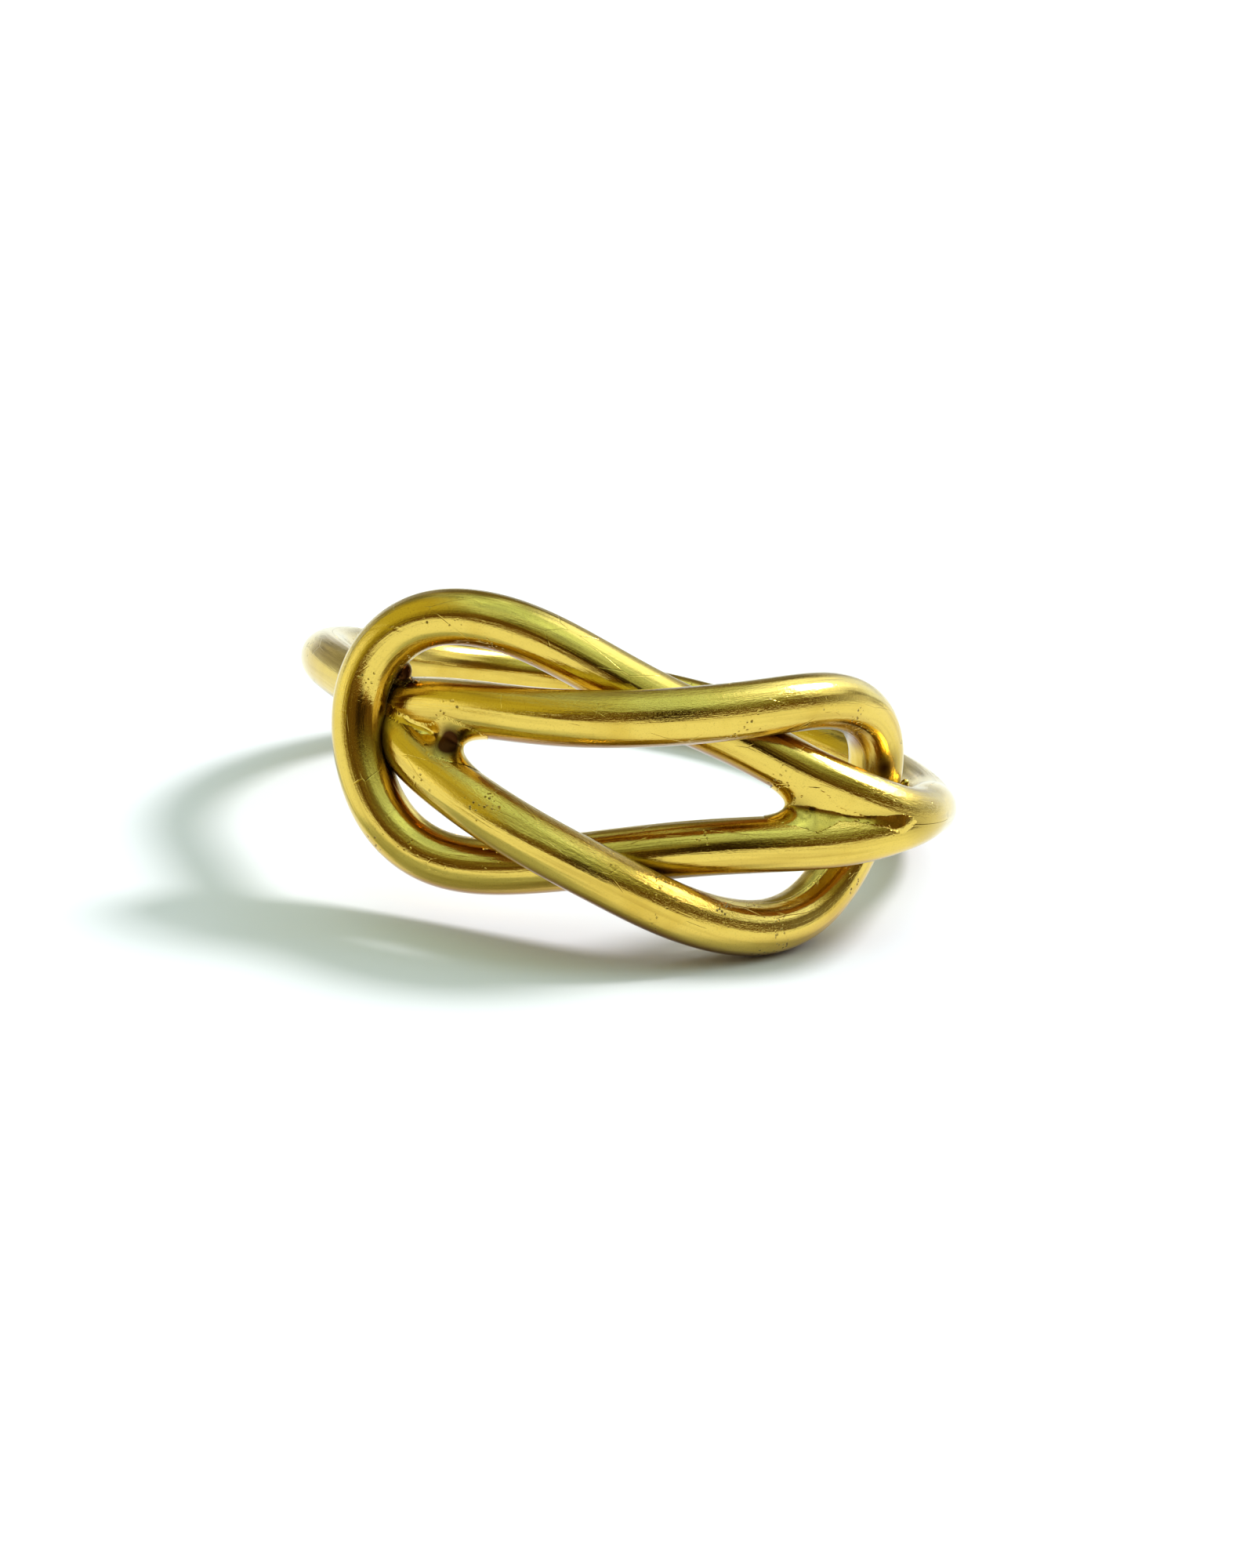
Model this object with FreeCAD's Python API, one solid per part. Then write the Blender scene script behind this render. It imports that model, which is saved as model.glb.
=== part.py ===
import FreeCAD, Part
import math
import os

# A finger ring made of one size of round wire.  The shank runs round the back of
# the finger.  At each end it forks into the two legs of a loop, and the two loops
# are linked through each other across the front as a reef knot.  Nothing moves:
# the forks are soldered.

os.makedirs("parts", exist_ok=True)

# Driving dimensions, in millimetres and degrees.
WIRE = 1.6                # diameter of the wire
HOOP_R = 9.55             # centre line radius of the shank, so the bore is 17.5 across
TILT_BACK = 8.95          # the finger axis leans back, on to the back of the shank,
TILT_SIDE = 7.57          # and to the right, on to the bottom of the right loop
SEAM_RISE = 5.0           # slope of the filed joint between the two legs of a fork
SEAM_LINE = 0.02          # thickness of the solder line between the two filed legs
WEB_THICK = 0.9           # solder left in each crotch, front to back
WEB_TALL = 1.0            # its height before the legs trim it
CROTCH_R = 0.32           # rounding of its open edge
TACK_R = 0.38             # bead of solder where the right loop crosses behind the fork

# A point is (degrees round the finger from the middle of the front, height along the
# finger, lift outwards from the shank's centre line).  Positive angles are on the right.
# Each run of points steers a cubic spline, which is the wire's centre line.
RIGHT_FORK_END = (51, 0.70, 1.65)
RIGHT_FORK_LEG = (45, 0.67, 2.25)
RIGHT_CROTCH = (25, 0.45, 1.10)
RIGHT_SEAM = (34, 0.50, 1.65)
LEFT_FORK_END = (-50, 0.10, 0.10)
LEFT_FORK_LEG = (-44, 0.06, 0.45)
LEFT_CROTCH = (-26, -0.10, 1.10)
LEFT_SEAM = (-36, -0.05, 0.70)
CROSSING = (50, 1.20, 1.05)

# The left loop leaves the right fork, passes under the right loop in the middle and
# turns round over the left fork.
LEFT_LOOP_TOP = [
    (37, 1.00, 1.85), (28, 1.35, 1.20), (17, 2.00, 0.50), (6, 2.25, 0.15),
    (-8, 2.90, 0.15), (-23, 3.60, 0.60), (-37, 3.20, 1.25), (-44, 1.45, 1.65),
]
LEFT_LOOP_BOTTOM = [
    (-43, -0.70, 1.70), (-36, -2.80, 1.45), (-25, -3.65, 1.10), (-12, -3.05, 0.70),
    (2, -2.05, 0.65), (15, -1.15, 1.05), (27, -0.55, 1.60), (37, -0.05, 2.05),
]

# The right loop leaves the left fork, passes over the left loop in the middle and
# turns round behind the right fork.
RIGHT_LOOP_TOP = [
    (-35, 0.60, 0.70), (-23, 1.05, 1.10), (-10, 1.50, 1.75), (3, 2.25, 2.15),
    (16, 3.05, 1.90), (29, 3.65, 1.00), (41, 3.30, 0.30), (49, 1.90, 0.05),
]
RIGHT_LOOP_BOTTOM = [
    (49, -0.20, 0.05), (41, -2.30, 0.50), (29, -3.35, 1.15), (14, -3.15, 1.85),
    (1, -2.35, 2.45), (-12, -1.75, 2.35), (-24, -1.25, 1.60), (-36, -0.75, 0.95),
]

# The shank between the forks.  Its back is a circle, bent a little low behind the left.
SHANK_RIGHT = [(67, 0.45, 0.55), (77, 0.10, 0.25)]
SHANK_LEFT = [(-76, 0.15, 0.00), (-65, 0.15, -0.15)]
BACK_STEP = 18
BACK_LIFT = 0.16          # the spline runs this far inside its steering points
BACK_DIP = {10: -0.10, 11: -0.30, 12: -0.45, 13: -0.45, 14: -0.15}    # step: height


def place(point):
    """Turn (angle, height, lift) into a position."""
    angle, height, lift = point
    a = math.radians(angle)
    r = HOOP_R + lift
    return FreeCAD.Vector(r * math.sin(a), -r * math.cos(a), height)


def centre_line(poles):
    """The cubic spline that a run of positions steers."""
    curve = Part.BSplineCurve()
    curve.buildFromPoles(poles, False, 3)
    return curve


def wire_along(curve):
    """Round wire swept along a centre line, with flat square-cut ends."""
    start = curve.value(curve.FirstParameter)
    direction = curve.tangent(curve.FirstParameter)[0]
    section = Part.Wire([Part.makeCircle(WIRE / 2.0, start, direction)])
    spine = Part.Wire([curve.toShape()])
    return spine.makePipeShell([section], True, False)


def halves(end, leg, top, bottom):
    """The two halves of a loop's centre line, parted at the middle of its turn."""
    steer = [end, leg] + top + bottom + [leg, end]
    curve = centre_line([place(p) for p in steer])
    middle = 0.5 * (curve.FirstParameter + curve.LastParameter)
    upper = curve.copy()
    upper.segment(curve.FirstParameter, middle)
    lower = curve.copy()
    lower.segment(middle, curve.LastParameter)
    return upper, lower


def filed_away(end, above):
    """What a file takes off a leg: all that is above, or below, the seam of its fork."""
    side = 1 if end[0] > 0 else -1
    bottom = -0.5 * SEAM_LINE if above else 0.5 * SEAM_LINE - 4.0
    waste = Part.makeBox(16.0, 12.0, 4.0, FreeCAD.Vector(-8.0 - side * 1.5, -6.0, bottom))
    waste.rotate(FreeCAD.Vector(0, 0, 0), FreeCAD.Vector(0, 1, 0), -side * SEAM_RISE)
    waste.translate(place(end))
    return waste


def loop(end, leg, top, bottom):
    """One loop, bent from one wire, with both legs filed flat where they lie together."""
    upper, lower = halves(end, leg, top, bottom)
    upper_leg = wire_along(upper).cut(filed_away(end, False))
    lower_leg = wire_along(lower).cut(filed_away(end, True))
    return upper_leg.fuse(lower_leg)


def shank():
    """The single wire round the back, running out to the fork at each end."""
    right_end = place(RIGHT_FORK_END)
    left_end = place(LEFT_FORK_END)
    poles = [right_end, right_end * 2 - place(RIGHT_FORK_LEG)]
    poles += [place(p) for p in SHANK_RIGHT]
    for step in range(5, 16):
        angle = step * BACK_STEP
        poles.append(place((angle, BACK_DIP.get(step, 0.0), BACK_LIFT)))
    poles += [place(p) for p in SHANK_LEFT]
    poles += [left_end * 2 - place(LEFT_FORK_LEG), left_end]
    return wire_along(centre_line(poles))


def web(crotch, seam, legs):
    """Solder filling a crotch: a short bar along the seam, scooped at its open edge."""
    along = place(seam) - place(crotch)
    bar = Part.makeBox(along.Length, WEB_THICK, WEB_TALL)
    bar.translate(FreeCAD.Vector(0, -WEB_THICK / 2.0, -WEB_TALL / 2.0))
    scoop = Part.makeCylinder(CROTCH_R, 3.0, FreeCAD.Vector(0, -1.5, 0), FreeCAD.Vector(0, 1, 0))
    bar = bar.cut(scoop)
    turn = math.degrees(math.atan2(along.y, along.x))
    bar.rotate(FreeCAD.Vector(0, 0, 0), FreeCAD.Vector(0, 0, 1), turn)
    bar.translate(place(crotch))
    return bar.cut(legs)


def stand(shape):
    """Lean the ring back and to the right, with its left side a little off the table."""
    origin = FreeCAD.Vector(0, 0, 0)
    shape.rotate(origin, FreeCAD.Vector(1, 0, 0), -TILT_BACK)
    shape.rotate(origin, FreeCAD.Vector(0, 1, 0), TILT_SIDE)


def reach(shapes):
    """Corners of the box round some shapes, measured on a fine mesh of them."""
    points = []
    for shape in shapes:
        points += shape.tessellate(0.02)[0]
    low = [min(p[i] for p in points) for i in range(3)]
    high = [max(p[i] for p in points) for i in range(3)]
    return low, high


back = shank()
right_loop = loop(LEFT_FORK_END, LEFT_FORK_LEG, RIGHT_LOOP_TOP, RIGHT_LOOP_BOTTOM)
left_loop = loop(RIGHT_FORK_END, RIGHT_FORK_LEG, LEFT_LOOP_TOP, LEFT_LOOP_BOTTOM)
bead = Part.makeSphere(TACK_R, place(CROSSING))

parts = {
    "shank": back,
    "right_loop": right_loop,
    "left_loop": left_loop.cut(right_loop),     # saddled where it lies over the left fork
    "left_fork_solder": web(LEFT_CROTCH, LEFT_SEAM, right_loop),
    "right_fork_solder": web(RIGHT_CROTCH, RIGHT_SEAM, left_loop),
    "crossing_solder": bead.cut(left_loop).cut(right_loop).cut(back),
}

for shape in parts.values():
    stand(shape)
low, high = reach(parts.values())
to_origin = FreeCAD.Vector(-0.5 * (low[0] + high[0]), -0.5 * (low[1] + high[1]), -low[2])

for name, shape in parts.items():
    shape.translate(to_origin)
    shape.exportStep("parts/%s.step" % name)
    print(name, shape.isValid(), len(shape.Solids), round(shape.Volume, 3))
print("origin moved by", to_origin, "box", low, high)
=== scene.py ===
import math

import bpy
import numpy as np
from mathutils import Matrix, Vector


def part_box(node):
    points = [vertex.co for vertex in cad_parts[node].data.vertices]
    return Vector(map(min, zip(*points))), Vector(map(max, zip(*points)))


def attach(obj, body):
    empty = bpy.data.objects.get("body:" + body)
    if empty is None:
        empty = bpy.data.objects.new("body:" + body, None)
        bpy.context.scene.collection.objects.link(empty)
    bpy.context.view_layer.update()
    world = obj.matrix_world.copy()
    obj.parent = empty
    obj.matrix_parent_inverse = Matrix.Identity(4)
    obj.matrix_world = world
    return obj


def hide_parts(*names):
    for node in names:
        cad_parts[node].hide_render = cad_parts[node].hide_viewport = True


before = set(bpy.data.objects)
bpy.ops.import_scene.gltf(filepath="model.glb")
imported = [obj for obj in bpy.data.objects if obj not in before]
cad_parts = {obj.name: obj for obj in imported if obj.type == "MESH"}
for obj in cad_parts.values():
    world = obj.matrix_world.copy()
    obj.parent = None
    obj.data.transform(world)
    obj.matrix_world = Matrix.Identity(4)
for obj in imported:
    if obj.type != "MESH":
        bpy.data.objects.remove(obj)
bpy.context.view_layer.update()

# A ring of round wire: a shank round the back of the finger that forks at each end into
# a loop, the two loops linked as a reef knot.  Lengths here are millimetres until a mesh
# is made, and the steering points are those of the solid model.

WIRE_R = 0.8               # radius of the wire
HOOP_R = 9.55              # centre line radius of the shank
TILT_BACK = 8.95           # degrees that the finger axis leans back
TILT_SIDE = 7.57           # degrees that it leans to the right
SEAM_RISE = 5.0            # slope of the filed joint in each fork
SEAM_GAP = 0.004           # each filed leg stops this far short of the joint's plane
FILED_SHARE = 0.22         # part of a loop's length, at each end, that can be filed
ROUND = 88                 # points round a wire
FLAT = 13                  # of these, how many lie on the filed side of a leg
STEP = 0.06                # spacing of the sections along a wire
UNEVEN = 0.012             # most that the hand-made unevenness takes off the radius
CRISP = 38                 # degrees: edges that turn more than this are not smoothed
SADDLE_DEPTH = 0.008       # how far the left loop beds into the legs it lies on
WIRE_SHADE_REACH = 0.45        # painted shade reaches this far out of a corner between two loops
LEG_SHADE_REACH = 0.30         # and this far out of the corner between two legs
FORK_SHARE = 0.3           # part of a loop's length, at each end, that is a leg

# (degrees round the finger, height along it, lift out from the shank's centre line)
RIGHT_FORK_END = (51, 0.70, 1.65)
RIGHT_FORK_LEG = (45, 0.67, 2.25)
LEFT_FORK_END = (-50, 0.10, 0.10)
LEFT_FORK_LEG = (-44, 0.06, 0.45)
LEFT_LOOP = [
    (37, 1.00, 1.85), (28, 1.35, 1.20), (17, 2.00, 0.50), (6, 2.25, 0.15),
    (-8, 2.90, 0.15), (-23, 3.60, 0.60), (-37, 3.20, 1.25), (-44, 1.45, 1.65),
    (-43, -0.70, 1.70), (-36, -2.80, 1.45), (-25, -3.65, 1.10), (-12, -3.05, 0.70),
    (2, -2.05, 0.65), (15, -1.15, 1.05), (27, -0.55, 1.60), (37, -0.05, 2.05),
]
RIGHT_LOOP = [
    (-35, 0.60, 0.70), (-23, 1.05, 1.10), (-10, 1.50, 1.75), (3, 2.25, 2.15),
    (16, 3.05, 1.90), (29, 3.65, 1.00), (41, 3.30, 0.30), (49, 1.90, 0.05),
    (49, -0.20, 0.05), (41, -2.30, 0.50), (29, -3.35, 1.15), (14, -3.15, 1.85),
    (1, -2.35, 2.45), (-12, -1.75, 2.35), (-24, -1.25, 1.60), (-36, -0.75, 0.95),
]
SHANK_RIGHT = [(67, 0.45, 0.55), (77, 0.10, 0.25)]
SHANK_LEFT = [(-76, 0.15, 0.00), (-65, 0.15, -0.15)]
BACK_STEP = 18             # degrees between the points that steer the back
BACK_LIFT = 0.16           # the spline runs this far inside its steering points
BACK_DIP = {10: -0.10, 11: -0.30, 12: -0.45, 13: -0.45, 14: -0.15}    # step: height

# Dark residue round the solder, and in the last entry a painted shadow where the right loop's
# arc lies on the left loop's leg: where, how dark, how far it spreads.
STAINS_AND_SHADOW = [
    ((-26.3, -0.05, 1.60), 1.70, 0.40), ((27.2, 0.50, 1.45), 0.75, 0.36),
    ((-39.0, 1.30, 1.10), 1.40, 0.40), ((45.0, 1.75, 0.85), 1.20, 0.50),
]


# ---------------------------------------------------------------- shape of the wires

def place(point):
    """Turn (angle, height, lift) into a position in the ring's own upright frame."""
    angle, height, lift = point
    a = math.radians(angle)
    r = HOOP_R + lift
    return np.array([r * math.sin(a), -r * math.cos(a), height])


def unit(v):
    """Scale vectors to length one."""
    v = np.asarray(v, float)
    return v / np.linalg.norm(v, axis=-1, keepdims=True)


def spline(poles, count):
    """Points along the clamped cubic spline that the poles steer."""
    poles = np.asarray(poles, float)
    n = len(poles)
    knots = np.concatenate([np.zeros(3), np.linspace(0.0, 1.0, n - 2), np.ones(3)])
    t = np.linspace(0.0, 1.0, count)
    inside = np.clip(t, 0.0, 1.0 - 1e-9)
    basis = [((knots[i] <= inside) & (inside < knots[i + 1])).astype(float)
             for i in range(n + 3)]
    for degree in (1, 2, 3):
        raised = []
        for i in range(n + 3 - degree):
            part = np.zeros(count)
            span = knots[i + degree] - knots[i]
            if span > 0:
                part += (inside - knots[i]) / span * basis[i]
            span = knots[i + degree + 1] - knots[i + 1]
            if span > 0:
                part += (knots[i + degree + 1] - inside) / span * basis[i + 1]
            raised.append(part)
        basis = raised
    return np.stack(basis, 1) @ poles


def evenly(poles):
    """Points at an even spacing along a spline, with the distance to each."""
    fine = spline(poles, 6000)
    run = np.concatenate([[0.0], np.cumsum(np.linalg.norm(np.diff(fine, axis=0), axis=1))])
    count = int(run[-1] / STEP) + 1
    at = np.linspace(0.0, run[-1], count)
    points = np.stack([np.interp(at, run, fine[:, i]) for i in range(3)], 1)
    return points, at


def carried(points):
    """Tangents, and normals carried along a path without twisting."""
    tangent = unit(np.gradient(points, axis=0))
    normal = np.zeros_like(points)
    first = np.array([0.0, 0.0, 1.0])
    normal[0] = unit(first - tangent[0] * (first @ tangent[0]))
    for i in range(1, len(points)):
        n = normal[i - 1]
        normal[i] = unit(n - tangent[i] * (n @ tangent[i]))
    return tangent, normal, np.cross(tangent, normal)


def ripple(along, around, seed):
    """Slow hand-made unevenness between 0 and 1, the same every run."""
    rng = np.random.default_rng(seed)
    total = np.zeros(np.broadcast(along, around).shape)
    for _ in range(9):
        pitch = rng.uniform(0.25, 1.5)
        lobes = rng.integers(0, 4)
        total += np.sin(pitch * along + lobes * around + rng.uniform(0, 6.28))
    return 0.5 + 0.5 * np.tanh(total / 3.0)


def sections(points, along, toward, depth, seed):
    """Rings of points round a wire.

    toward is the direction, in each section, of the filed side, and depth how far that
    flat lies from the centre.  A depth of the wire's radius or more leaves it round.
    """
    tangent = unit(np.gradient(points, axis=0))
    across = np.cross(tangent, toward)
    ratio = np.clip(depth / WIRE_R, -1.0, 1.0)
    half = np.maximum(np.arccos(ratio), math.radians(10))
    w = np.linspace(-1.0, 1.0, FLAT)
    side = WIRE_R * np.sin(half)[:, None] * w
    drop = np.minimum(np.sqrt(np.maximum(WIRE_R ** 2 - side ** 2, 0)), depth[:, None])
    v = np.linspace(0.0, 1.0, ROUND - FLAT + 2)[1:-1]
    turn = half[:, None] + v * (2 * math.pi - 2 * half[:, None])
    side = np.concatenate([side, WIRE_R * np.sin(turn)], 1)
    drop = np.concatenate([drop, WIRE_R * np.cos(turn)], 1)
    angle = np.arctan2(side, drop)
    thin = 1.0 - UNEVEN * ripple(along[:, None], angle, seed)
    keep = (depth[:, None] < WIRE_R) & (drop > depth[:, None] - 0.02)
    thin = np.where(keep, 1.0, thin)
    ring = points[:, None] + (side * thin)[..., None] * across[:, None]
    ring = ring + (drop * thin)[..., None] * toward[:, None]
    return ring, angle


def leaned(points):
    """Lean the ring the way it lies on the table."""
    b, s = math.radians(-TILT_BACK), math.radians(TILT_SIDE)
    about_x = np.array([
        [1, 0, 0],
        [0, math.cos(b), -math.sin(b)],
        [0, math.sin(b), math.cos(b)]])
    about_y = np.array([
        [math.cos(s), 0, math.sin(s)],
        [0, 1, 0],
        [-math.sin(s), 0, math.cos(s)]])
    return np.asarray(points) @ (about_y @ about_x).T


def seam_normal(end):
    """Upward normal of the plane where the two legs of a fork are filed flat."""
    side = 1 if end[0] > 0 else -1
    rise = math.radians(SEAM_RISE)
    return np.array([-side * math.sin(rise), 0.0, math.cos(rise)])


def filed_sides(points, end):
    """For a loop: where the filed flat of each section faces, and how deep it lies."""
    tangent, normal, binormal = carried(points)
    up = seam_normal(end)
    at = place(end)
    count = len(points)
    fork = int(FILED_SHARE * count)
    angle = np.zeros(count)
    depth = np.full(count, 2.0 * WIRE_R)
    for rows, facing in ((slice(0, fork), -up), (slice(count - fork, count), up)):
        t = tangent[rows]
        toward = unit(facing - t * (t @ facing)[:, None])
        gap = (at - points[rows]) @ facing
        depth[rows] = gap / (toward @ facing) - SEAM_GAP
        x = np.sum(toward * normal[rows], 1)
        y = np.sum(toward * binormal[rows], 1)
        angle[rows] = np.unwrap(np.arctan2(y, x))
    first, last = angle[fork - 1], angle[count - fork]
    last += 2 * math.pi * round((first - last) / (2 * math.pi))
    angle[count - fork:] += last - angle[count - fork]
    blend = np.linspace(0.0, 1.0, count - 2 * fork + 2)[1:-1]
    angle[fork:count - fork] = first + (last - first) * blend ** 2 * (3 - 2 * blend)
    toward = np.cos(angle)[:, None] * normal + np.sin(angle)[:, None] * binormal
    return toward, depth


def loop_shape(end, leg, turn_points, seed):
    """Path and sections of one loop."""
    poles = [place(p) for p in [end, leg] + turn_points + [leg, end]]
    points, along = evenly(poles)
    toward, depth = filed_sides(points, end)
    ring, angle = sections(points, along, toward, depth, seed)
    return points, along, ring, angle


def shank_shape(seed):
    """Path and sections of the shank."""
    right_end, left_end = place(RIGHT_FORK_END), place(LEFT_FORK_END)
    poles = [right_end, right_end * 2 - place(RIGHT_FORK_LEG)]
    poles += [place(p) for p in SHANK_RIGHT]
    poles += [place((k * BACK_STEP, BACK_DIP.get(k, 0.0), BACK_LIFT)) for k in range(5, 16)]
    poles += [place(p) for p in SHANK_LEFT]
    poles += [left_end * 2 - place(LEFT_FORK_LEG), left_end]
    points, along = evenly(poles)
    normal = carried(points)[1]
    round_all_over = np.full(len(points), 2.0 * WIRE_R)
    ring, angle = sections(points, along, normal, round_all_over, seed)
    return points, along, ring, angle


def nearest(points, path):
    """Distance from each point to a path, and the nearest point of the path."""
    best = np.zeros(len(points))
    where = np.zeros((len(points), 3))
    length = np.sum(path * path, axis=1)
    for start in range(0, len(points), 20000):
        chunk = points[start:start + 20000]
        rows = np.arange(len(chunk))
        square = np.sum(chunk * chunk, axis=1)[:, None] - 2 * chunk @ path.T + length
        k = square.argmin(1)
        best[start:start + 20000] = np.sqrt(np.maximum(square[rows, k], 0.0))
        where[start:start + 20000] = path[k]
    return best, where


# ---------------------------------------------------------------- meshes

def mesh_object(name, vertices, faces, uv=None, **layers):
    """A smooth mesh object in metres, with its coordinates for the materials."""
    mesh = bpy.data.meshes.new(name)
    mesh.from_pydata((np.asarray(vertices) * 0.001).tolist(), [], faces)
    mesh.update()
    mesh.polygons.foreach_set("use_smooth", [True] * len(mesh.polygons))
    mesh.set_sharp_from_angle(angle=math.radians(CRISP))
    if uv is not None:
        layer = mesh.uv_layers.new(name="along_around")
        index = np.zeros(len(mesh.loops), dtype=np.int32)
        mesh.loops.foreach_get("vertex_index", index)
        layer.data.foreach_set("uv", np.asarray(uv, np.float32)[index].ravel())
    for key, values in layers.items():
        layer = mesh.attributes.new(key, "FLOAT", "POINT")
        layer.data.foreach_set("value", np.asarray(values, np.float32))
    piece = bpy.data.objects.new(name, mesh)
    bpy.context.scene.collection.objects.link(piece)
    return piece


def wire_object(name, ring, along, angle, **layers):
    """A wire from its sections, closed at both ends."""
    count, around = ring.shape[:2]
    vertices = ring.reshape(-1, 3)
    faces = []
    for i in range(count - 1):
        for j in range(around):
            k = (j + 1) % around
            a, b = i * around, (i + 1) * around
            faces.append((a + j, a + k, b + k, b + j))
    faces.append(tuple(reversed(range(around))))
    faces.append(tuple((count - 1) * around + j for j in range(around)))
    u = np.repeat(along, around)
    v = np.mod(angle.ravel(), 2 * math.pi) * WIRE_R
    return mesh_object(name, vertices, faces, np.stack([u, v], 1), **layers)


shank_path, shank_run, shank_ring, shank_angle = shank_shape(11)
left_path, left_run, left_ring, left_angle = loop_shape(
    RIGHT_FORK_END, RIGHT_FORK_LEG, LEFT_LOOP, 23)
right_path, right_run, right_ring, right_angle = loop_shape(
    LEFT_FORK_END, LEFT_FORK_LEG, RIGHT_LOOP, 37)

# The left loop is saddled where it lies over the left fork: its surface there follows
# the fork's legs, a hair inside them so that no gap shows.
skin = left_ring.reshape(-1, 3)
near_fork = skin[:, 0] < -5.0
gap, where = nearest(skin[near_fork], right_path)
inside = gap < WIRE_R - SADDLE_DEPTH
pushed = where + unit(skin[near_fork] - where) * (WIRE_R - SADDLE_DEPTH)
skin[near_fork] = np.where(inside[:, None], pushed, skin[near_fork])
left_ring = skin.reshape(left_ring.shape)

# Where the ring lies: leaned over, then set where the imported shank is.  Its box is in
# metres, so half of the sum of two corners in millimetres is 500 times it.
leaned_shank = leaned(shank_ring.reshape(-1, 3))
low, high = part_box("shank")
middle = 0.5 * (leaned_shank.min(0) + leaned_shank.max(0))
shift = 500.0 * (np.array(low) + np.array(high)) - middle


def stand(points):
    """From the ring's upright frame to where it lies, in millimetres."""
    return leaned(points) + shift


def legs(path):
    """The upper and lower leg of a loop, which meet at its fork."""
    fork = int(FORK_SHARE * len(path))
    return path[:fork], path[len(path) - fork:]


def crevice(points, others):
    """Painted shade: 1 in the corner between this wire and another, fading to 0 away from it.
    """
    least = np.full(len(points), 1e9)
    for path in others:
        least = np.minimum(least, nearest(points, path)[0] - WIRE_R)
    return np.clip(1.0 - least / WIRE_SHADE_REACH, 0.0, 1.0) ** 1.5


def leg_crevice(points, path, end):
    """Painted shade, as above, between the two legs of one loop at its fork."""
    upper, lower = legs(path)
    farther = np.maximum(nearest(points, upper)[0], nearest(points, lower)[0]) - WIRE_R
    tip = np.linalg.norm(points - place(end), axis=1)
    dark = np.clip(1.0 - farther / LEG_SHADE_REACH, 0.0, 1.0) ** 1.5
    return dark * np.clip((tip - 0.6) / 1.5, 0.0, 1.0)


def stains_and_shadow(points):
    """Flux and dirt left round each soldered corner, and one painted shadow, fading out over
    the metal.
    """
    total = np.zeros(len(points))
    for centre, amount, size in STAINS_AND_SHADOW:
        away = np.linalg.norm(points - place(centre), axis=1) / size
        total = np.maximum(total, amount * np.exp(-away ** 2))
    return total


def step(low, high, value):
    """0 below low, 1 above high, smooth between."""
    t = np.clip((value - low) / (high - low), 0.0, 1.0)
    return t * t * (3 - 2 * t)


def underside_shade_and_wear(ring, path):
    """Painted shade and wear at each point: shade painted beneath, a little more on the inner
    side, and rubbed on top and outside.
    """
    facing = unit(ring - path[:, None])
    out = unit(path * np.array([1.0, 1.0, 0.0]))[:, None]
    down = -facing[..., 2]
    lift = np.linalg.norm(ring[..., :2], axis=2) - HOOP_R
    # Painted shade: darker where the wire faces down, a little more where it faces in.
    tarnish = step(0.62, 0.93, down + 0.10 * np.clip(-np.sum(facing * out, 2), 0, 1))
    worn = step(1.4, 2.6, lift) * step(-0.15, 0.5, -down)
    return tarnish.ravel(), worn.ravel()


pieces = {}
for name, ring, run, angle, path, others, end in (
        ("shank_wire", shank_ring, shank_run, shank_angle, shank_path, (), None),
        ("left_loop_wire", left_ring, left_run, left_angle, left_path,
         (right_path,), RIGHT_FORK_END),
        ("right_loop_wire", right_ring, right_run, right_angle, right_path,
         (left_path,), LEFT_FORK_END)):
    points = ring.reshape(-1, 3)
    shade_and_stain = np.zeros(len(points))
    if others:
        # Painted shade in the corners between wires and between legs, with the stains round
        # the solder.
        shade_and_stain = crevice(points, others)
        shade_and_stain = np.maximum(shade_and_stain, 0.6 * leg_crevice(points, path, end))
        shade_and_stain = np.maximum(shade_and_stain, stains_and_shadow(points))
    tarnish, worn = underside_shade_and_wear(ring, path)
    pieces[name] = wire_object(name, stand(points).reshape(ring.shape), run, angle,
                               crevice=shade_and_stain, tarnish=tarnish, worn=worn)


# ---------------------------------------------------------------- solder

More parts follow.
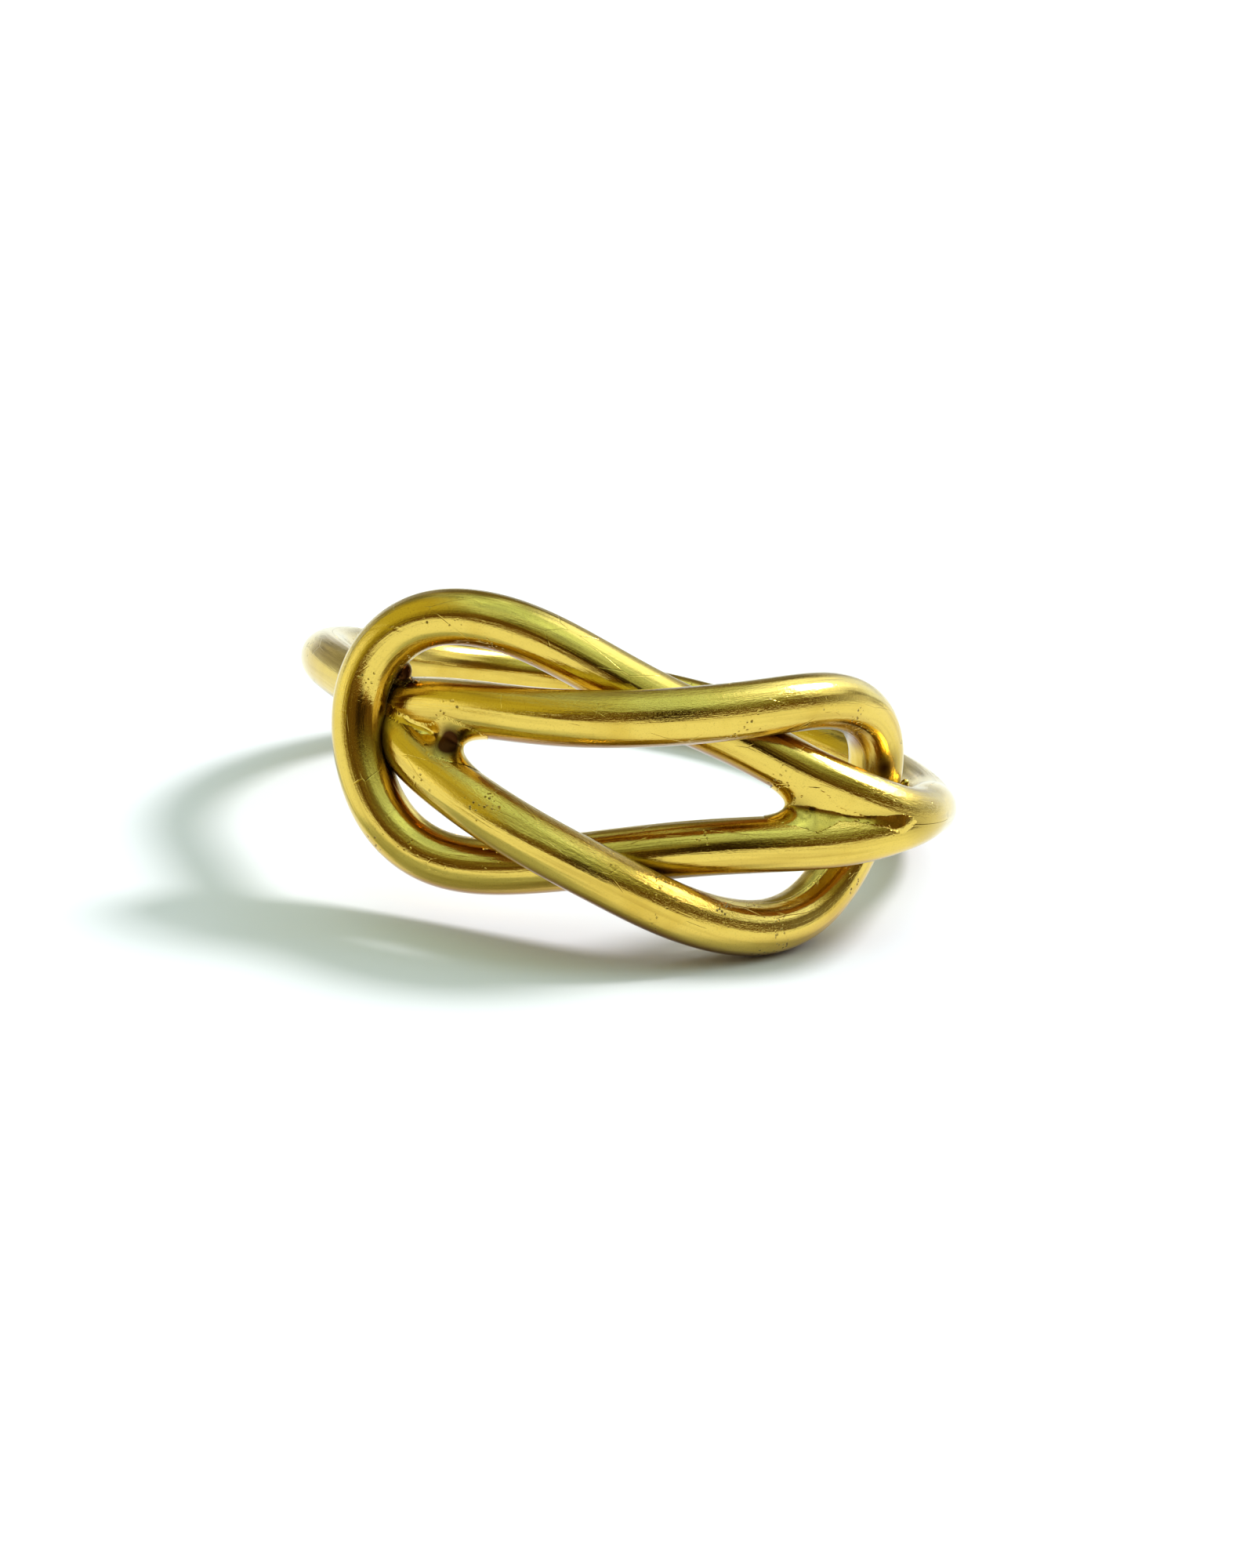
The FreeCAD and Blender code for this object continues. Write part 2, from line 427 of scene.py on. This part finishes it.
def cell_surface(field, low, high, cell):
    """Closed surface where field is zero, from one vertex in each cell that it crosses."""
    axes = [np.arange(low[i], high[i] + cell, cell) for i in range(3)]
    grid = np.stack(np.meshgrid(*axes, indexing="ij"), -1)
    value = field(grid.reshape(-1, 3)).reshape(grid.shape[:3])
    inside = value < 0
    size = np.array(value.shape) - 1
    total = np.zeros((*size, 3))
    count = np.zeros(size)

    def corner(array, offset):
        x, y, z = offset
        return array[x:size[0] + x, y:size[1] + y, z:size[2] + z]

    corners = [(x, y, z) for x in (0, 1) for y in (0, 1) for z in (0, 1)]
    for a in corners:
        for axis in range(3):
            if a[axis]:
                continue
            b = tuple(1 if i == axis else a[i] for i in range(3))
            va, vb = corner(value, a), corner(value, b)
            crossed = corner(inside, a) != corner(inside, b)
            share = np.where(crossed, va / np.where(crossed, va - vb, 1.0), 0.0)[..., None]
            where = corner(grid, a) * (1 - share) + corner(grid, b) * share
            total += np.where(crossed[..., None], where, 0.0)
            count += crossed
    used = count > 0
    index = np.full(size, -1)
    index[used] = np.arange(used.sum())
    vertices = total[used] / count[used][:, None]
    faces = []
    for axis in range(3):
        u, v = (axis + 1) % 3, (axis + 2) % 3
        low_side = np.moveaxis(inside, axis, 0)[:-1]
        high_side = np.moveaxis(inside, axis, 0)[1:]
        changed = np.moveaxis(low_side != high_side, 0, axis)
        for edge in np.argwhere(changed):
            if edge[u] == 0 or edge[v] == 0 or edge[u] >= size[u] or edge[v] >= size[v]:
                continue
            ring = []
            for du, dv in ((1, 1), (0, 1), (0, 0), (1, 0)):
                at = edge.copy()
                at[u] -= du
                at[v] -= dv
                ring.append(int(index[tuple(at)]))
            if not inside[tuple(edge)]:
                ring.reverse()
            faces.append(tuple(ring))
    return vertices, faces


def lumps(points, seed, pitch):
    """Smooth random unevenness in space, about -1 to 1."""
    rng = np.random.default_rng(seed)
    total = np.zeros(len(points))
    for _ in range(10):
        wave = unit(rng.normal(size=3)) * pitch * rng.uniform(0.6, 1.8)
        total += np.sin(points @ wave + rng.uniform(0, 6.28))
    return total / 4.0


def blended(a, b, reach):
    """Distance to two shapes joined by a fillet, and how much the fillet adds."""
    h = np.maximum(reach - np.abs(a - b), 0.0) / np.maximum(reach, 1e-6)
    added = h * h * reach / 4.0
    return np.minimum(a, b) - added, added


def close_by(path, centre, distance):
    """The stretch of a path near a point."""
    return path[np.linalg.norm(path - centre, axis=1) < distance]


def fork_solder(path, end, crotch, reach, length, seed):
    """The solder in the crotch of a fork: a scooped web that thins to a line up the seam.

    reach is twice the widest gap that it bridges in the crotch, and length is how far it
    goes up the seam.
    """
    start, stop = place(crotch), place(end)
    run = unit(stop - start)
    middle = start + run * 0.5 * length
    upper, lower = (close_by(leg, middle, 0.5 * length + 2.2) for leg in legs(path))

    def field(points):
        up = nearest(points, upper)[0] - WIRE_R
        down = nearest(points, lower)[0] - WIRE_R
        along = (points - start) @ run
        line = 0.26 + 0.06 * lumps(points, seed, 7.0)
        spread = line + (reach - line) * np.exp(-(np.clip(along, 0.0, 9.0) / 0.75) ** 2)
        spread = spread * np.clip((length - along) / 0.6, 0.0, 1.0)
        joined, added = blended(up, down, spread)
        hollow = -np.minimum(up, down) - 0.05
        nothing_added = (0.003 - added) * 4.0
        return np.maximum.reduce([joined + 0.012, hollow, nothing_added])

    low = np.minimum(start, start + run * length) - 0.75
    high = np.maximum(start, start + run * length) + 0.75
    return cell_surface(field, low, high, 0.04)


def bead_solder(centre, radius, seed):
    """A bead of solder where the two loops touch."""
    middle = place(centre)
    right_near = close_by(right_path, middle, 2.5)
    left_near = close_by(left_path, middle, 2.5)

    def field(points):
        one = nearest(points, right_near)[0] - WIRE_R
        other = nearest(points, left_near)[0] - WIRE_R
        wires = np.minimum(one, other)
        ball = np.linalg.norm((points - middle) * np.array([1.2, 1.2, 0.7]), axis=1) - radius
        ball = ball + 0.015 * lumps(points, seed, 12.0)
        joined, _ = blended(ball, wires, 0.10)
        hollow = -wires - 0.03
        edge = np.linalg.norm(points - middle, axis=1) - 1.7 * radius
        return np.maximum(np.maximum(joined, hollow), edge)

    return cell_surface(field, middle - 0.5, middle + 0.5, 0.03)


left_web = fork_solder(right_path, LEFT_FORK_END, crotch=(-25.5, -0.05, 1.17),
                       reach=1.20, length=3.4, seed=5)
right_web = fork_solder(left_path, RIGHT_FORK_END, crotch=(26.7, 0.50, 1.27),
                        reach=1.12, length=3.4, seed=7)
bright_bead = bead_solder((47.5, 1.38, 1.30), radius=0.17, seed=9)
dark_bead = bead_solder((-39.5, 1.22, 0.90), radius=0.24, seed=13)

for name, (vertices, faces), stain_and_shadow_share in (
        ("left_fork_fillet", left_web, 1.0), ("right_fork_fillet", right_web, 1.0),
        ("crossing_bead", bright_bead, 0.0), ("left_corner_fillet", dark_bead, 1.0)):
    none = np.zeros(len(vertices))
    pieces[name] = mesh_object(name, stand(vertices), faces,
                               crevice=stain_and_shadow_share * stains_and_shadow(vertices), tarnish=none, worn=none)


# ---------------------------------------------------------------- materials

CLEAN_GOLD = (0.77, 0.550, 0.108)
WARM_GOLD = (0.69, 0.465, 0.076)
FLECK = (0.50, 0.33, 0.07)
REFLECTION_STREAK_COLOUR = (0.42, 0.25, 0.035)
UNDERSIDE_SHADE_COLOUR = (0.20, 0.065, 0.010)
SHADE_AND_GRIME = (0.055, 0.018, 0.004)


def node(tree, kind, **values):
    """Add a shader node, setting sockets by name."""
    made = tree.nodes.new(kind)
    for key, value in values.items():
        if key in made.inputs:
            made.inputs[key].default_value = value
        else:
            setattr(made, key, value)
    return made


def ramp(tree, stops):
    """A colour ramp from (position, value or colour) stops."""
    made = tree.nodes.new("ShaderNodeValToRGB")
    line = made.color_ramp
    while len(line.elements) < len(stops):
        line.elements.new(0.5)
    for element, (at, colour) in zip(line.elements, stops):
        element.position = at
        if isinstance(colour, (int, float)):
            colour = (colour, colour, colour)
        element.color = (*colour, 1.0)
    return made


def feed(tree, socket, value):
    """Set a socket to a number or a colour, or link it to another node's output."""
    if isinstance(value, (int, float)):
        socket.default_value = value
    elif isinstance(value, tuple):
        socket.default_value = (*value, 1.0)
    else:
        tree.links.new(value, socket)


def maths(tree, operation, a, b, clamp=False):
    """The result of a sum on two values."""
    made = node(tree, "ShaderNodeMath", operation=operation, use_clamp=clamp)
    feed(tree, made.inputs[0], a)
    feed(tree, made.inputs[1], b)
    return made.outputs[0]


def mixed(tree, factor, a, b):
    """Colour a where the factor is 0 and colour b where it is 1."""
    made = node(tree, "ShaderNodeMix", data_type="RGBA")
    feed(tree, made.inputs[0], factor)
    feed(tree, made.inputs[6], a)
    feed(tree, made.inputs[7], b)
    return made.outputs[2]


def mapped(tree, value, low, high, new_low=0.0, new_high=1.0, kind="LINEAR"):
    """A value carried from one range to another, and held at its ends."""
    made = node(tree, "ShaderNodeMapRange", interpolation_type=kind)
    for key, number in (("From Min", low), ("From Max", high),
                        ("To Min", new_low), ("To Max", new_high)):
        made.inputs[key].default_value = number
    tree.links.new(value, made.inputs["Value"])
    return made.outputs["Result"]


def finish_material(name, shade_and_stain_strength):
    """Worn gold-coloured metal: polishing lines, grain, pits, scratches, painted dark
    reflection streaks, and painted shade in the corners and beneath.

    It reads three values stored on the mesh: painted corner shade with the stains, painted
    underside shade, and wear.
    """
    material = bpy.data.materials.new(name)
    material.use_nodes = True
    tree = material.node_tree
    tree.nodes.clear()
    link = tree.links.new
    out = node(tree, "ShaderNodeOutputMaterial")
    shader = node(tree, "ShaderNodeBsdfPrincipled", Metallic=1.0)
    link(shader.outputs["BSDF"], out.inputs["Surface"])
    uv = node(tree, "ShaderNodeUVMap", uv_map="along_around").outputs["UV"]
    spot = node(tree, "ShaderNodeTexCoord").outputs["Object"]
    shade_and_stain, tarnish, rubbed = (
        node(tree, "ShaderNodeAttribute", attribute_name=layer).outputs["Fac"]
        for layer in ("crevice", "tarnish", "worn"))

    def noise(vector, scale, detail, roughness):
        made = node(tree, "ShaderNodeTexNoise", Scale=scale, Detail=detail,
                    Roughness=roughness)
        link(vector, made.inputs["Vector"])
        return made.outputs["Fac"]

    def stretched(along, across):
        made = node(tree, "ShaderNodeMapping")
        made.inputs["Scale"].default_value = (along, across, 1.0)
        link(uv, made.inputs["Vector"])
        return made.outputs["Vector"]

    def band(value, low, high):
        made = ramp(tree, [(low, 0.0), (high, 1.0)])
        link(value, made.inputs["Fac"])
        return made.outputs["Color"]

    # Noises laid along the wire are in millimetres, and those in space in metres.
    facets = noise(stretched(0.10, 1.6), 1.0, 2.0, 0.5)
    lines = noise(stretched(0.35, 9.0), 1.0, 5.0, 0.62)
    patches = noise(spot, 330.0, 4.0, 0.55)
    grain = noise(spot, 11000.0, 4.0, 0.7)
    speck = noise(spot, 24000.0, 2.0, 0.6)
    warmer = band(patches, 0.50, 0.64)

    # Small round pits, in a few places only.
    cells = node(tree, "ShaderNodeTexVoronoi", Scale=7000.0)
    link(spot, cells.inputs["Vector"])
    hole = maths(tree, "SUBTRACT", 1.0, band(cells.outputs["Distance"], 0.16, 0.30))
    pits = maths(tree, "MULTIPLY", hole, band(noise(spot, 700.0, 2.0, 0.5), 0.60, 0.66))

    # Scratches follow the borders between large cells, where another noise lets them.
    borders = node(tree, "ShaderNodeTexVoronoi", feature="DISTANCE_TO_EDGE", Scale=1.0)
    link(stretched(0.55, 1.3), borders.inputs["Vector"])
    scratch = maths(tree, "SUBTRACT", 1.0, band(borders.outputs["Distance"], 0.002, 0.012))
    allowed = band(noise(stretched(0.8, 0.8), 1.0, 1.0, 0.5), 0.52, 0.60)
    scratches = maths(tree, "MULTIPLY", scratch, allowed)

    # Colour, from clean metal to flecks, brown streaks that are painted dark reflections,
    # painted shade beneath, and black for painted corner shade, stains and pits.
    colour = mixed(tree, warmer, CLEAN_GOLD, WARM_GOLD)
    colour = mixed(tree, maths(tree, "MULTIPLY", band(speck, 0.56, 0.70), 0.50), colour, FLECK)
    # Painted dark reflections: brown streaks laid along the wire.
    reflection_streaks = band(noise(stretched(0.16, 3.4), 1.0, 4.0, 0.6), 0.50, 0.68)
    colour = mixed(tree, maths(tree, "MULTIPLY", reflection_streaks, 0.45), colour, REFLECTION_STREAK_COLOUR)
    # Painted shade on the undersides, mixed towards dark brown.
    colour = mixed(tree, maths(tree, "MULTIPLY", tarnish, 0.92), colour, UNDERSIDE_SHADE_COLOUR)
    # Painted corner shade, stains and pits, mixed towards black.
    scaled_shade_and_stain = maths(tree, "MULTIPLY", shade_and_stain, shade_and_stain_strength)
    shade_stain_and_pits = maths(tree, "MAXIMUM", scaled_shade_and_stain, maths(tree, "MULTIPLY", pits, 0.75), clamp=True)
    link(mixed(tree, shade_stain_and_pits, colour, SHADE_AND_GRIME), shader.inputs["Base Color"])

    # Roughness varies in patches, and rises with the painted corner shade, stains, pits and
    # rubbing.
    rough = mapped(tree, patches, 0.42, 0.66, 0.05, 0.13)
    rough = maths(tree, "ADD", rough, maths(tree, "MULTIPLY", shade_stain_and_pits, 0.30))
    rough = maths(tree, "ADD", rough, maths(tree, "MULTIPLY", rubbed, 0.06))
    link(rough, shader.inputs["Roughness"])

    # Relief, each with its strength and its depth in metres.
    rubbing = maths(tree, "MULTIPLY", noise(stretched(5.0, 16.0), 1.0, 3.0, 0.7), rubbed)
    normal = None
    for height, strength, depth, invert in (
            (facets, 0.9, 0.00007, False), (lines, 0.5, 0.000014, False),
            (grain, 0.30, 0.000012, False), (rubbing, 0.8, 0.00002, False),
            (pits, 0.8, 0.00003, True), (scratches, 0.5, 0.000008, True)):
        bump = node(tree, "ShaderNodeBump", Strength=strength, Distance=depth, invert=invert)
        link(height, bump.inputs["Height"])
        if normal is not None:
            link(normal, bump.inputs["Normal"])
        normal = bump.outputs["Normal"]
    link(normal, shader.inputs["Normal"])
    return material


def table_material():
    """Plain white table, with the least unevenness."""
    material = bpy.data.materials.new("white_table")
    material.use_nodes = True
    tree = material.node_tree
    shader = tree.nodes["Principled BSDF"]
    shader.inputs["Roughness"].default_value = 0.65
    shader.inputs["Specular IOR Level"].default_value = 0.15
    spot = node(tree, "ShaderNodeTexCoord")
    speck = node(tree, "ShaderNodeTexNoise", Scale=60.0, Detail=3.0)
    tree.links.new(spot.outputs["Object"], speck.inputs["Vector"])
    tone = ramp(tree, [(0.0, 0.90), (1.0, 0.93)])
    tree.links.new(speck.outputs["Fac"], tone.inputs["Fac"])
    tree.links.new(tone.outputs["Color"], shader.inputs["Base Color"])
    return material


gold = finish_material("worn_gold_wire", 0.85)
solder = finish_material("gold_solder", 1.0)

for name, replaced, finish in (
        ("shank_wire", "shank", gold), ("left_loop_wire", "left_loop", gold),
        ("right_loop_wire", "right_loop", gold),
        ("left_fork_fillet", "left_fork_solder", solder),
        ("right_fork_fillet", "right_fork_solder", solder),
        ("crossing_bead", "crossing_solder", solder),
        ("left_corner_fillet", None, solder)):
    piece = pieces[name]
    piece.data.materials.append(finish)
    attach(piece, "root")
    if replaced:
        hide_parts(replaced)


# ---------------------------------------------------------------- stage, light, camera

def floor_object():
    """A large flat table under the ring, 6 m across."""
    half = 3000.0
    corners = [(-half, -half, 0), (half, -half, 0), (half, half, 0), (-half, half, 0)]
    table = mesh_object("table_top", corners, [(0, 1, 2, 3)])
    table.data.materials.append(table_material())
    return table


def aim(thing, position, target, roll=0.0):
    """Put a camera or light at a position, looking at a target, rolled about its view."""
    position, target = Vector(position), Vector(target)
    turn = (target - position).to_track_quat("-Z", "Y").to_matrix().to_4x4()
    thing.matrix_world = Matrix.Translation(position) @ turn @ Matrix.Rotation(roll, 4, "Z")


def around(azimuth, elevation, distance):
    """A point at a bearing from +X towards +Y, a height angle and a distance in metres."""
    a, e = math.radians(azimuth), math.radians(elevation)
    level = math.cos(e)
    return Vector((math.cos(a) * level, math.sin(a) * level, math.sin(e))) * distance


def lobe(tree, direction, azimuth, elevation, inner, outer):
    """Factor that is 1 within inner degrees of a bearing and 0 beyond outer degrees."""
    dot = node(tree, "ShaderNodeVectorMath", operation="DOT_PRODUCT")
    dot.inputs[1].default_value = around(azimuth, elevation, 1.0)
    tree.links.new(direction, dot.inputs[0])
    return mapped(tree, dot.outputs["Value"], math.cos(math.radians(outer)),
                  math.cos(math.radians(inner)), kind="SMOOTHSTEP")


def walls(tree, direction):
    """Colours of the room from floor to ceiling, in front of the ring and behind it."""
    split = node(tree, "ShaderNodeSeparateXYZ")
    tree.links.new(direction, split.inputs["Vector"])
    uneven = node(tree, "ShaderNodeTexNoise", Scale=3.2, Detail=3.0, Roughness=0.5)
    tree.links.new(direction, uneven.inputs["Vector"])
    height = node(tree, "ShaderNodeMath", operation="MULTIPLY_ADD")
    tree.links.new(uneven.outputs["Fac"], height.inputs[0])
    height.inputs[1].default_value = 0.30
    tree.links.new(maths(tree, "SUBTRACT", split.outputs["Z"], 0.15), height.inputs[2])

    # Both ramps run from the horizon, at 0, to straight up, at 1.
    front = ramp(tree, [
        (0.00, (0.24, 0.16, 0.05)), (0.12, (0.12, 0.070, 0.018)), (0.30, (0.09, 0.055, 0.014)),
        (0.44, (0.16, 0.125, 0.04)), (0.57, (0.24, 0.25, 0.11)), (0.71, (0.38, 0.47, 0.36)),
        (0.86, (0.58, 0.78, 0.76)), (1.00, (0.60, 0.84, 0.76))])
    rear = ramp(tree, [
        (0.00, (0.55, 0.62, 0.75)), (0.20, (0.38, 0.40, 0.42)), (0.45, (0.22, 0.21, 0.14)),
        (0.70, (0.28, 0.29, 0.20)), (0.88, (0.52, 0.66, 0.64)), (1.00, (0.60, 0.84, 0.76))])
    for each in (front, rear):
        tree.links.new(height.outputs[0], each.inputs["Fac"])
    behind = mapped(tree, split.outputs["Y"], -0.20, 0.25, kind="SMOOTHSTEP")
    return mixed(tree, behind, front.outputs["Color"], rear.outputs["Color"])


def cluttered(tree, direction, colour):
    """The same colours made darker and lighter in patches, as by things in the room."""
    clutter = node(tree, "ShaderNodeTexNoise", Scale=7.0, Detail=4.0, Roughness=0.6)
    tree.links.new(direction, clutter.inputs["Vector"])
    amount = mapped(tree, clutter.outputs["Fac"], 0.36, 0.64, 0.20, 1.70)
    patchy = node(tree, "ShaderNodeVectorMath", operation="SCALE")
    tree.links.new(colour, patchy.inputs[0])
    tree.links.new(amount, patchy.inputs["Scale"])
    return patchy.outputs["Vector"]


# Soft-edged areas of the room, in degrees: bearing, height angle, inner radius, outer
# radius, and then the colour.
AREAS = [
    (-171, 30, 18, 40, (0.48, 0.45, 0.09)),        # olive wall at the left
    (-176, 5, 4, 18, (1.00, 1.05, 0.90)),          # pale opening, low at the left
    (98, 34, 6, 18, (0.16, 0.14, 0.07)),           # something dark at the back
    (-80, 17, 10, 19, (0.022, 0.013, 0.004)),      # something dark right in front
    (14, 32, 7, 16, (1.10, 1.30, 1.60)),           # window, its right side
    (56, 17, 8, 22, (0.90, 1.05, 1.30)),           # window, its sill
    (44, 44, 12, 27, (1.35, 1.55, 1.90)),          # window, its middle
    (22, 62, 8, 22, (1.35, 1.60, 2.00)),           # window, its top
]


def room():
    """The room the metal reflects.

    Dark and warm low down in front, olive at the left, a pale ceiling, and a tall bright
    window behind to the right.  Seen directly it is a plain white backdrop.
    """
    world = bpy.data.worlds.new("room")
    bpy.context.scene.world = world
    world.use_nodes = True
    tree = world.node_tree
    tree.nodes.clear()
    link = tree.links.new

    direction = node(tree, "ShaderNodeTexCoord").outputs["Generated"]
    colour = cluttered(tree, direction, walls(tree, direction))
    for azimuth, elevation, inner, outer, shade in AREAS:
        factor = lobe(tree, direction, azimuth, elevation, inner, outer)
        colour = mixed(tree, factor, colour, shade)
    reflected = node(tree, "ShaderNodeBackground", Strength=1.22)
    link(colour, reflected.inputs["Color"])

    plain = node(tree, "ShaderNodeBackground", Color=(1.0, 1.0, 1.0, 1.0), Strength=1.0)
    seen = node(tree, "ShaderNodeLightPath")
    either = node(tree, "ShaderNodeMixShader")
    link(seen.outputs["Is Camera Ray"], either.inputs[0])
    link(reflected.outputs["Background"], either.inputs[1])
    link(plain.outputs["Background"], either.inputs[2])
    out = node(tree, "ShaderNodeOutputWorld")
    link(either.outputs["Shader"], out.inputs["Surface"])


def sun(azimuth, elevation, strength, spread, colour):
    """The window's direct light, soft enough to blur the shadow's edge."""
    light = bpy.data.lights.new("window_light", "SUN")
    light.energy = strength
    light.angle = math.radians(spread)
    light.color = colour
    lamp = bpy.data.objects.new("window_light", light)
    bpy.context.scene.collection.objects.link(lamp)
    aim(lamp, around(azimuth, elevation, 1.0), (0.0, 0.0, 0.0))


floor = floor_object()
room()
sun(azimuth=34.7, elevation=45.4, strength=2.5, spread=13, colour=(1.0, 0.99, 1.05))

camera_data = bpy.data.cameras.new("camera")
camera_data.sensor_width = 36.0
camera_data.lens = 69.4
camera_data.clip_start = 0.001
camera_data.clip_end = 20.0
camera = bpy.data.objects.new("camera", camera_data)
bpy.context.scene.collection.objects.link(camera)
look_at = Vector((0.00017, 0.00074, 0.00146))
away = around(azimuth=-88.87, elevation=18.70, distance=0.09406)
aim(camera, look_at + away, look_at, roll=math.radians(6.2))
bpy.context.scene.camera = camera

view = bpy.context.scene.view_settings
view.view_transform = "Standard"
view.look = "None"
